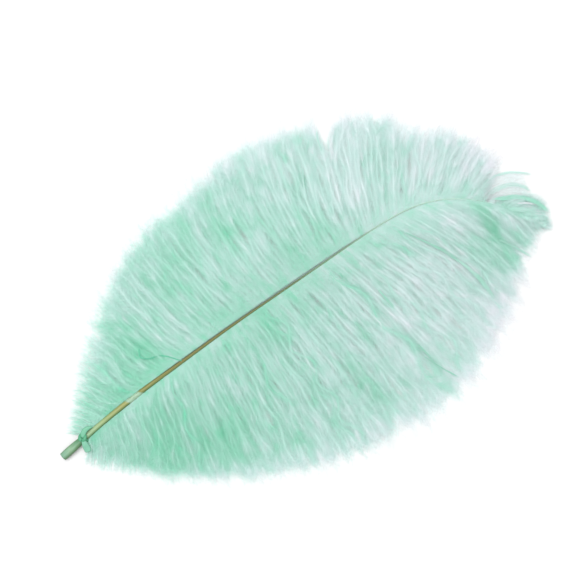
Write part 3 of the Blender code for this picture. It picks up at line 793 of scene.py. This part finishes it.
def build_piece(name, batch):
    """One mesh from the barbs of a batch, with what its material reads and a map for textures."""
    vertices, faces, rib_highlight, dye, painted_shade, maps = [], [], [], [], [], []
    columns = math.ceil(len(batch) / ATLAS_ROWS)
    base = 0
    for n, (parts, dyes, painted_shades) in enumerate(batch):
        for is_rib, (points, triangles, spots, sides) in enumerate(parts):
            vertices.append(points)
            faces.append(triangles + base)
            base += len(points)
            # Where the ribs are painted paler as a highlight, and how much painted shade darkens each
            # point
            rib_highlight.append(is_rib * smoothstep(*RIB_HIGHLIGHT_SPAN, spots))
            dye.append(dyes[is_rib])
            painted_shade.append(painted_shades[is_rib])
            u = (n % columns + 0.5 + ATLAS_HALF * sides) / columns
            v = (n // columns + ATLAS_MARGIN + (1 - 2 * ATLAS_MARGIN) * spots) / ATLAS_ROWS
            maps.append(np.stack([u, v], axis=1))
    vertices, faces = np.concatenate(vertices), np.concatenate(faces)
    mesh = bpy.data.meshes.new(name)
    mesh.vertices.add(len(vertices))
    mesh.vertices.foreach_set("co", vertices.astype(np.float32).ravel())
    mesh.loops.add(faces.size)
    mesh.loops.foreach_set("vertex_index", faces.astype(np.int32).ravel())
    mesh.polygons.add(len(faces))
    mesh.polygons.foreach_set("loop_start", np.arange(0, faces.size, 3, dtype=np.int32))
    mesh.update(calc_edges=True)
    # Attributes for the material: the painted rib highlight, the dye and the painted shade
    for title, values in (("rib_highlight", rib_highlight), ("dye", dye), ("painted_shade", painted_shade)):
        layer = mesh.attributes.new(title, "FLOAT", "POINT")
        layer.data.foreach_set("value", np.concatenate(values).astype(np.float32))
    layer = mesh.uv_layers.new(name="OFBake")
    layer.data.foreach_set("uv", np.concatenate(maps)[faces.ravel()].astype(np.float32).ravel())
    return link(bpy.data.objects.new(name, mesh))


def mesh_object(name, vertices, faces, values):
    """A smooth object, with a number on every vertex for each of its named values."""
    mesh = bpy.data.meshes.new(name)
    mesh.from_pydata([tuple(vertex) for vertex in vertices], [], [tuple(face) for face in faces])
    mesh.shade_smooth()
    for title, numbers in values.items():
        layer = mesh.attributes.new(title, "FLOAT", "POINT")
        layer.data.foreach_set("value", np.asarray(numbers, np.float32))
    return link(bpy.data.objects.new(name, mesh))


def skin(rings):
    """Faces of a closed body through rings of equally many points."""
    count, sides = rings.shape[:2]
    k = np.arange(sides)
    after = (k + 1) % sides
    low = (np.arange(count - 1) * sides)[:, None]
    quads = np.stack([low + k, low + after, low + sides + after, low + sides + k], axis=2)
    last = (count - 1) * sides
    return [tuple(k[::-1])] + [tuple(face) for face in quads.reshape(-1, 4)] + [tuple(last + k)]


def make_shaft():
    """The shaft, from the hollow cut end of the quill past its crease to the thin tip."""
    places = np.linspace(0.0, SHAFT_LENGTH, SHAFT_RINGS)
    turn = np.arange(SHAFT_SIDES) * 2 * math.pi / SHAFT_SIDES
    place, angle = places[:, None], turn[None, :]
    half = along(SHAFT_WIDTHS, places)[:, None] / 2
    groove = GROOVE_DEPTH * smoothstep(*GROOVE_SPAN, place)
    groove = groove * np.exp(-((np.degrees(angle) - GROOVE_ANGLE) / GROOVE_REACH) ** 2)
    facets = FACET_DEPTH * np.cos(FACETS * angle + FACETS_PHASE) * (1 - smoothstep(*FACETS_END, place))
    slanted = place + CREASE_SLANT * np.cos(angle)
    starts, ends = (smoothstep(edge - CREASE_BLUR, edge + CREASE_BLUR, slanted) for edge in CREASE)
    crease = starts * (1 - ends)
    radius = half * (1 + facets - groove - CREASE_SINK * crease * np.abs(np.sin(angle)))
    side = shaft_side(places)[:, None, :] * (np.cos(angle) * radius)[:, :, None]
    up = np.array([0.0, 0.0, 1.0]) * (np.sin(angle) * radius * SHAFT_FLATNESS)[:, :, None]
    aside = shaft_side(places) * along(SHAFT_ASIDE, places)[:, None]
    rings = (shaft_at(places) - aside)[:, None, :] + side + up
    bore = np.stack([shaft_at(spot) + (rings[0] - rings[0].mean(axis=0)) * width / SHAFT_WIDTHS[0][1]
                     for spot, width in ((BORE_DEPTH, BORE_WIDTHS[1]), (BORE_LIP, BORE_WIDTHS[0]))])
    rings = np.concatenate([bore, rings])
    spread = np.ones_like(angle)
    bore_places = np.array([BORE_DEPTH, 0.0])[:, None] * spread
    values = {"place": np.concatenate([bore_places, place * spread]).ravel(),
              "across": np.tile(np.cos(turn), len(rings)),
              "crease": np.concatenate([bore_places * 0, crease]).ravel()}
    return mesh_object("shaft", rings.reshape(-1, 3), skin(rings), values)


def curve(points, count):
    """A smooth curve through points, with as many points as asked for."""
    points = np.array(points, float)
    steps = np.linalg.norm(np.diff(points, axis=0), axis=1)
    spots = np.concatenate([[0.0], np.cumsum(steps)]) / steps.sum()
    wanted = np.linspace(0.0, 1.0, count)
    return np.stack([along(np.column_stack([spots, column]), wanted) for column in points.T], axis=1)


def tie_point(forward, left, height):
    """A point by its distance along the shaft from the knot, to its left and above the surface."""
    spot = shaft_at(TIE_PLACE)
    left_way = shaft_side(np.array(TIE_PLACE))
    ahead = np.array([left_way[1], -left_way[0], 0.0])
    return np.array([spot[0], spot[1], 0.0]) + ahead * forward + left_way * left + (0, 0, height)


def strip(line, widths, faces_out, thickness):
    """Rings of a flat string with rounded edges along a line. Its flat side looks to faces_out."""
    ahead = np.gradient(line, axis=0)
    ahead /= np.linalg.norm(ahead, axis=1)[:, None]
    wide = np.cross(faces_out, ahead)
    wide /= np.linalg.norm(wide, axis=1)[:, None]
    over = np.cross(ahead, wide)
    turn = np.arange(STRING_SIDES) * 2 * math.pi / STRING_SIDES
    cup = STRING_CUP * np.cos(turn) ** 2
    across = wide[:, None, :] * (np.cos(turn) * widths[:, None] / 2)[:, :, None]
    depth = np.sin(turn) * thickness / 2 - cup * widths[:, None]
    return line[:, None, :] + across + over[:, None, :] * depth[:, :, None]


def around_quill(turn, reach, forward):
    """A point at the knot: its turn round the quill from the left, its reach and how far ahead."""
    height = shaft_at(TIE_PLACE)[2] + math.sin(turn) * reach
    return tie_point(forward, math.cos(turn) * reach, height)


def band_rings(radius):
    """The turns round the quill."""
    count = STRING_POINTS["band"]
    turns = np.linspace(TIE_START, TIE_START + TIE_TURNS, count) * 2 * math.pi
    climb = np.linspace(-TIE_ADVANCE / 2, TIE_ADVANCE / 2, count)
    line = np.array([around_quill(turn, radius, forward) for forward, turn in zip(climb, turns)])
    middle = np.array([around_quill(0.0, 0.0, forward) for forward in climb])
    return strip(line, np.full(count, TIE_WIDTH), line - middle, TIE_THICKNESS)


def knot_rings(radius):
    """The knot, a coil on top of the turns."""
    count = STRING_POINTS["knot"]
    middle = around_quill(math.radians(KNOT_SIDE), radius + KNOT_LIFT, 0.0)
    ahead = tie_point(1.0, 0.0, 0.0) - tie_point(0.0, 0.0, 0.0)
    out = middle - around_quill(0.0, 0.0, 0.0)
    out /= np.linalg.norm(out)
    beside = np.cross(out, ahead)
    spin = np.linspace(0.0, KNOT_TURNS, count)[:, None] * 2 * math.pi
    line = middle + KNOT_RADIUS * (np.cos(spin) * ahead + np.sin(spin) * beside)
    line = line + out * KNOT_WAVE * np.sin(KNOT_WAVES * spin)
    return strip(line, np.full(count, KNOT_WIDTH), out, TIE_THICKNESS)


def end_rings(name, route, widths, thickness):
    """A free end of the string along its route, with its widths at even steps."""
    count = STRING_POINTS[name]
    line = curve([tie_point(*spot) for spot in route], count)
    wide = np.interp(np.linspace(0, 1, count), np.linspace(0, 1, len(widths)), widths)
    return strip(line, wide, np.array([0.0, 0.0, 1.0]), thickness)


def make_tie():
    """The string: turns round the quill, a knot on top, a cut tail and a short loop."""
    radius = along(SHAFT_WIDTHS, TIE_PLACE) / 2 + TIE_GAP + TIE_THICKNESS / 2
    parts = {"band": band_rings(radius), "knot": knot_rings(radius),
             "tail": end_rings("tail", TAIL_ROUTE, TAIL_WIDTHS, TIE_THICKNESS),
             "loop": end_rings("loop", LOOP_ROUTE, LOOP_WIDTHS, LOOP_THICKNESS)}
    vertices, faces, depth = [], [], []
    for name, rings in parts.items():
        base = sum(len(points) for points in vertices)
        vertices.append(rings.reshape(-1, 3))
        faces += [tuple(base + np.array(face)) for face in skin(rings)]
        depth.append(np.full(rings.shape[0] * rings.shape[1], STRING_DYES[name]))
    return mesh_object("tie", np.concatenate(vertices), faces, {"dye": np.concatenate(depth)})


def new_material(name):
    made = bpy.data.materials.new(name)
    made.use_nodes = True
    tree = made.node_tree
    return made, tree, tree.nodes["Principled BSDF"]


def linear(red, green, blue):
    """A colour given as on a screen, 0 to 255, as the shader's linear values."""
    values = np.array([red, green, blue]) / 255
    low = values / 12.92
    high = ((values + 0.055) / 1.055) ** 2.4
    return (*np.where(values <= 0.04045, low, high), 1.0)


def ramp(tree, source, stops):
    """Colours as on a screen, each at its value of the source."""
    node = tree.nodes.new("ShaderNodeValToRGB")
    tree.links.new(source, node.inputs["Fac"])
    elements = node.color_ramp.elements
    while len(elements) < len(stops):
        elements.new(0.5)
    for element, (spot, colour) in zip(elements, stops):
        element.position = spot
        element.color = linear(*colour)
    return node.outputs["Color"]


def attribute(tree, name):
    node = tree.nodes.new("ShaderNodeAttribute")
    node.attribute_name = name
    return node.outputs["Fac"]


def maths(tree, operation, *values):
    node = tree.nodes.new("ShaderNodeMath")
    node.operation = operation
    for socket, value in zip(node.inputs, values):
        if isinstance(value, (int, float)):
            socket.default_value = value
        else:
            tree.links.new(value, socket)
    return node.outputs[0]


def noise(tree, scale, detail=2.0, vector=None):
    node = tree.nodes.new("ShaderNodeTexNoise")
    if vector is None:
        vector = tree.nodes.new("ShaderNodeTexCoord").outputs["Object"]
    tree.links.new(vector, node.inputs["Vector"])
    node.inputs["Scale"].default_value = scale
    node.inputs["Detail"].default_value = detail
    return node.outputs["Fac"]


def blotches(tree, scale, depth):
    """Soft spots that add or take up to half the depth."""
    return maths(tree, "MULTIPLY", maths(tree, "SUBTRACT", noise(tree, scale), 0.5), depth)


def vane_material():
    """Dyed barbs which let some light shine through, with soft blotches, ribs painted paler as a
    highlight, and painted shade.
    """
    made, tree, shader = new_material("dyed_vane")
    # The ribs are painted paler, as a highlight
    rib_highlight = maths(tree, "MULTIPLY", attribute(tree, "rib_highlight"), RIB_PAINTED_HIGHLIGHT)
    dye = maths(tree, "ADD", attribute(tree, "dye"), blotches(tree, BLOTCH_SCALE, BLOTCH_DEPTH))
    value = maths(tree, "MULTIPLY_ADD", maths(tree, "ADD", dye, rib_highlight), DYE_SCALE, DYE_START)
    dyed = ramp(tree, value, VANE_COLOURS)
    # Painted shade: the colour is mixed towards black by the painted shade attribute
    colour = blend(tree, attribute(tree, "painted_shade"), dyed, linear(0, 0, 0))
    tree.links.new(colour, shader.inputs["Base Color"])
    shader.inputs["Roughness"].default_value = VANE_ROUGHNESS
    shader.inputs["Specular IOR Level"].default_value = VANE_SPECULAR
    through = tree.nodes.new("ShaderNodeBsdfTranslucent")
    tree.links.new(colour, through.inputs["Color"])
    mix = tree.nodes.new("ShaderNodeMixShader")
    mix.inputs["Fac"].default_value = SHINES_THROUGH
    tree.links.new(shader.outputs[0], mix.inputs[1])
    tree.links.new(through.outputs[0], mix.inputs[2])
    tree.links.new(mix.outputs[0], tree.nodes["Material Output"].inputs["Surface"])
    return made


def blend(tree, factor, first, second):
    """A mix of two colours, each a colour or a socket."""
    node = tree.nodes.new("ShaderNodeMix")
    node.data_type = "RGBA"
    sockets = {socket.identifier: socket for socket in node.inputs}
    for name, value in (("Factor_Float", factor), ("A_Color", first), ("B_Color", second)):
        if isinstance(value, bpy.types.NodeSocket):
            tree.links.new(value, sockets[name])
        else:
            sockets[name].default_value = value
    return next(socket for socket in node.outputs if socket.identifier == "Result_Color")


def spread(tree, source, low, high):
    """A value turned to 0 at low and 1 at high."""
    node = tree.nodes.new("ShaderNodeMapRange")
    node.interpolation_type = "SMOOTHSTEP"
    tree.links.new(source, node.inputs["Value"])
    node.inputs["From Min"].default_value = low
    node.inputs["From Max"].default_value = high
    return node.outputs["Result"]


def shaft_edges_and_shade(tree):
    """How far the shaft darkens to its edges, partly its own colour and partly painted shade. This
    fades away towards the tip.
    """
    across = attribute(tree, "across")
    sides = [maths(tree, "MULTIPLY", spread(tree, across, low, high), depth)
             for low, high, depth in SHAFT_EDGES_AND_SHADE]
    fades = spread(tree, attribute(tree, "place"), *EDGES_AND_SHADE_FADE)
    return maths(tree, "MULTIPLY", maths(tree, "MAXIMUM", *sides), fades)


def shaft_grain(tree):
    """Long streaks in the horn of the shaft."""
    combine = tree.nodes.new("ShaderNodeCombineXYZ")
    for name, socket in (("place", "X"), ("across", "Y")):
        scaled = maths(tree, "MULTIPLY", attribute(tree, name), GRAIN_SCALES[name])
        tree.links.new(scaled, combine.inputs[socket])
    grain = noise(tree, 1.0, 3.0, combine.outputs["Vector"])
    return maths(tree, "MULTIPLY", spread(tree, grain, *GRAIN_SPAN), GRAIN_DEPTH)


def scribble(tree):
    """Fine lines in the torn pith of the crease."""
    lines = maths(tree, "ABSOLUTE", maths(tree, "SUBTRACT", noise(tree, SCRIBBLE_SCALE), 0.5))
    return maths(tree, "MULTIPLY", spread(tree, lines, *SCRIBBLE_SPAN), SCRIBBLE_DEPTH)


def shaft_material():
    """Horn that changes its colour along the shaft, darker to its edges partly by painted shade, with
    pith that shows in the crease.
    """
    made, tree, shader = new_material("shaft")
    share = maths(tree, "DIVIDE", attribute(tree, "place"), SHAFT_LENGTH)
    plain = ramp(tree, share, [(place / SHAFT_LENGTH, colour) for place, colour in SHAFT_COLOURS])
    # Darker edges, partly the horn's own colour and partly painted shade
    edged_and_shaded = blend(tree, shaft_edges_and_shade(tree), plain, linear(*EDGE_AND_SHADE_COLOUR))
    horn = blend(tree, shaft_grain(tree), edged_and_shaded, linear(*GRAIN_COLOUR))
    pith = blend(tree, scribble(tree), *(linear(*colour) for colour in PITH_COLOURS))
    colour = blend(tree, attribute(tree, "crease"), horn, pith)
    tree.links.new(colour, shader.inputs["Base Color"])
    shader.inputs["Roughness"].default_value = SHAFT_ROUGHNESS
    shader.inputs["Specular IOR Level"].default_value = SHAFT_SPECULAR
    return made


def tie_material():
    """Dyed string, worn paler here and there."""
    made, tree, shader = new_material("dyed_string")
    dye = maths(tree, "ADD", attribute(tree, "dye"), blotches(tree, WEAR_SCALE, WEAR_DEPTH))
    tree.links.new(ramp(tree, dye, STRING_COLOURS), shader.inputs["Base Color"])
    shader.inputs["Roughness"].default_value = STRING_ROUGHNESS
    return made


def make_camera():
    """Looks straight down, turned as the plume lies in the picture."""
    camera = link(bpy.data.objects.new("camera", bpy.data.cameras.new("camera")))
    camera.data.lens = LENS
    camera.data.sensor_width = SENSOR
    camera.data.clip_end = VIEW_DEPTH
    camera.location = Vector(VIEW_CENTRE) + Vector((0, 0, VIEW_WIDTH * LENS / SENSOR))
    camera.rotation_euler = (0, 0, math.radians(VIEW_TURN))
    bpy.context.scene.camera = camera


def make_floor():
    mesh = bpy.data.meshes.new("floor")
    half = FLOOR_SIZE / 2
    mesh.from_pydata([(-half, -half, 0), (half, -half, 0), (half, half, 0), (-half, half, 0)], [],
                     [(0, 1, 2, 3)])
    floor = link(bpy.data.objects.new("floor", mesh))
    made, _, shader = new_material("white_surface")
    shader.inputs["Base Color"].default_value = (FLOOR_GREY, FLOOR_GREY, FLOOR_GREY, 1)
    shader.inputs["Roughness"].default_value = FLOOR_ROUGHNESS
    shader.inputs["Specular IOR Level"].default_value = FLOOR_SPECULAR
    mesh.materials.append(made)


def make_light():
    """A white sky, and a soft round light from the upper left of the view."""
    world = bpy.data.worlds.new("studio")
    bpy.context.scene.world = world
    world.use_nodes = True
    sky = world.node_tree.nodes["Background"]
    sky.inputs["Color"].default_value = (1, 1, 1, 1)
    sky.inputs["Strength"].default_value = SKY_STRENGTH
    key = link(bpy.data.objects.new("key", bpy.data.lights.new("key", "AREA")))
    key.data.shape = "DISK"
    key.data.size = KEY_SIZE
    key.data.energy = KEY_ENERGY
    turn = math.radians(VIEW_TURN)
    right = Vector((math.cos(turn), math.sin(turn), 0))
    up = Vector((-math.sin(turn), math.cos(turn), 0))
    key.location = Vector(VIEW_CENTRE) + (up - right) * KEY_ASIDE + Vector((0, 0, KEY_HEIGHT))
    aim = (Vector(VIEW_CENTRE) - key.location).to_track_quat("-Z", "Y")
    key.rotation_euler = aim.to_euler()
    bpy.context.scene.view_settings.view_transform = "Standard"


def dress(piece, look, node):
    """Gives a piece its material, hangs it on the root body and hides the solid part that it stands
    for.
    """
    piece.data.materials.append(look)
    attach(piece, "root")
    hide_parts(node)


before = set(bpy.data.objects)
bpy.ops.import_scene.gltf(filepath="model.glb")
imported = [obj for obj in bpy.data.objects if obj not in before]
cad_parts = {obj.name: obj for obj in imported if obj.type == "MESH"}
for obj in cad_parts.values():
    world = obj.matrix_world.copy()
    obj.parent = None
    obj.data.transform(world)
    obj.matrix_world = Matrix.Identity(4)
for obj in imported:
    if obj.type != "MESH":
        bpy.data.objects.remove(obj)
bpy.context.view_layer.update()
make_camera()
make_floor()
make_light()
dress(make_shaft(), shaft_material(), "feather")
dress(make_tie(), tie_material(), "quill_tie")
vane_look = vane_material()
for side, vane in VANES.items():
    for piece in make_barbs(side, vane):
        dress(piece, vane_look, "feather")
dress(make_sprays(), vane_look, "feather")
